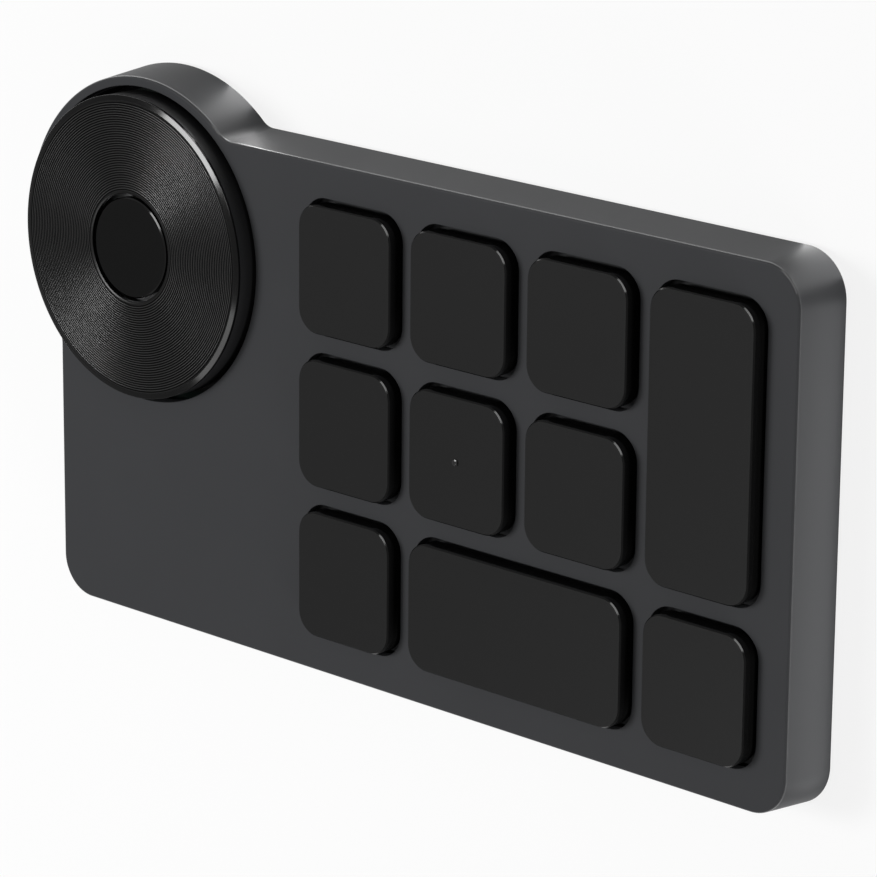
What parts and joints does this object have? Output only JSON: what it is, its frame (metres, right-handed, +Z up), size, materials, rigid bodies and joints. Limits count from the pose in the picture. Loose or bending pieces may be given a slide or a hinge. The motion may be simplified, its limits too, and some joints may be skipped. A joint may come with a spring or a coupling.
{
  "type": "shortcut remote",
  "caption": "Flat desk remote with a grid of square, tall and wide push keys and a large turning dial that has a push button in its middle.",
  "frame": {"origin": "on the desk, under the middle of the whole outline", "axes": "+X along the long side towards the right-hand keys, +Y to the rear edge, +Z up out of the face"},
  "size_m": [0.1424, 0.0798, 0.0119],
  "materials": {
    "case_plastic": "satin moulded, dark grey",
    "rubber": "matte",
    "silicone": "matte translucent",
    "key_plastic": "matte black",
    "button_plastic": "matte black",
    "dial_metal": "turned rings, black anodised, bright bevel",
    "wheel_plastic": "black, smooth",
    "inner_plastic": "moulded",
    "bush_plastic": "smooth",
    "board": "solder mask",
    "cell_foil": "dull foil",
    "steel": "plain",
    "nickel": "plain"
  },
  "bodies": {
    "case": {"top_cover": "case_plastic", "bottom_cover": "case_plastic", "front_foot": "rubber", "rear_foot": "rubber", "dial_foot": "rubber", "port_shell": "steel", "case_screws": "steel", "main_board": "board", "board_screws": "steel", "battery": "cell_foil", "battery_tabs": "nickel", "radio_module": "steel", "port_tongue": "inner_plastic", "power_switch": "inner_plastic", "key_frame": "inner_plastic", "frame_screws": "steel", "encoder_sensor": "inner_plastic", "dial_base": "inner_plastic", "dial_screws": "steel", "dial_bush": "bush_plastic", "retaining_ring": "steel", "detent_spring": "steel", "centre_switch": "inner_plastic", "key_dome_1": "silicone", "key_dome_2": "silicone", "key_dome_3": "silicone", "key_dome_4": "silicone", "key_dome_5": "silicone", "key_dome_6": "silicone", "key_dome_7": "silicone", "key_dome_8": "silicone", "key_dome_9": "silicone", "key_dome_10": "silicone"},
    "dial": {"dial_disc": "dial_metal", "dial_wheel": "wheel_plastic", "encoder_ring": "inner_plastic"},
    "button": {"centre_button": "button_plastic", "switch_plunger": "inner_plastic"},
    "power": {"power_slider": "inner_plastic"},
    "key_1": {"key_cap_1": "key_plastic"},
    "key_2": {"key_cap_2": "key_plastic"},
    "key_3": {"key_cap_3": "key_plastic"},
    "key_4": {"key_cap_4": "key_plastic"},
    "key_5": {"key_cap_5": "key_plastic"},
    "key_6": {"key_cap_6": "key_plastic"},
    "key_7": {"key_cap_7": "key_plastic"},
    "key_8": {"key_cap_8": "key_plastic"},
    "key_9": {"key_cap_9": "key_plastic"},
    "key_10": {"key_cap_10": "key_plastic"}
  },
  "joints": [
    {"name": "dial_spin", "type": "hinge", "parent": "case", "child": "dial", "pos_m": [-0.04668, 0.01537, 0.009], "axis": [0, 0, 1], "continuous": true, "deforming": ["detent_spring"]},
    {"name": "button_press", "type": "slide", "parent": "case", "child": "button", "axis": [0, 0, -1], "range_m": [0, 0.0004], "stiffness_N_per_m": 2500, "springref_m": -0.0002},
    {"name": "power_slide", "type": "slide", "parent": "case", "child": "power", "axis": [0, 1, 0], "range_m": [0, 0.002]},
    {"name": "key_1_press", "type": "slide", "parent": "case", "child": "key_1", "axis": [0, 0, -1], "range_m": [0, 0.0012], "stiffness_N_per_m": 400, "springref_m": -0.0004, "deforming": ["key_dome_1"]},
    {"name": "key_2_press", "type": "slide", "parent": "case", "child": "key_2", "axis": [0, 0, -1], "range_m": [0, 0.0012], "stiffness_N_per_m": 400, "springref_m": -0.0004, "deforming": ["key_dome_2"]},
    {"name": "key_3_press", "type": "slide", "parent": "case", "child": "key_3", "axis": [0, 0, -1], "range_m": [0, 0.0012], "stiffness_N_per_m": 400, "springref_m": -0.0004, "deforming": ["key_dome_3"]},
    {"name": "key_4_press", "type": "slide", "parent": "case", "child": "key_4", "axis": [0, 0, -1], "range_m": [0, 0.0012], "stiffness_N_per_m": 400, "springref_m": -0.0004, "deforming": ["key_dome_4"]},
    {"name": "key_5_press", "type": "slide", "parent": "case", "child": "key_5", "axis": [0, 0, -1], "range_m": [0, 0.0012], "stiffness_N_per_m": 400, "springref_m": -0.0004, "deforming": ["key_dome_5"]},
    {"name": "key_6_press", "type": "slide", "parent": "case", "child": "key_6", "axis": [0, 0, -1], "range_m": [0, 0.0012], "stiffness_N_per_m": 400, "springref_m": -0.0004, "deforming": ["key_dome_6"]},
    {"name": "key_7_press", "type": "slide", "parent": "case", "child": "key_7", "axis": [0, 0, -1], "range_m": [0, 0.0012], "stiffness_N_per_m": 400, "springref_m": -0.0004, "deforming": ["key_dome_7"]},
    {"name": "key_8_press", "type": "slide", "parent": "case", "child": "key_8", "axis": [0, 0, -1], "range_m": [0, 0.0012], "stiffness_N_per_m": 400, "springref_m": -0.0004, "deforming": ["key_dome_8"]},
    {"name": "key_9_press", "type": "slide", "parent": "case", "child": "key_9", "axis": [0, 0, -1], "range_m": [0, 0.0012], "stiffness_N_per_m": 400, "springref_m": -0.0004, "deforming": ["key_dome_9"]},
    {"name": "key_10_press", "type": "slide", "parent": "case", "child": "key_10", "axis": [0, 0, -1], "range_m": [0, 0.0012], "stiffness_N_per_m": 400, "springref_m": -0.0004, "deforming": ["key_dome_10"]}
  ]
}
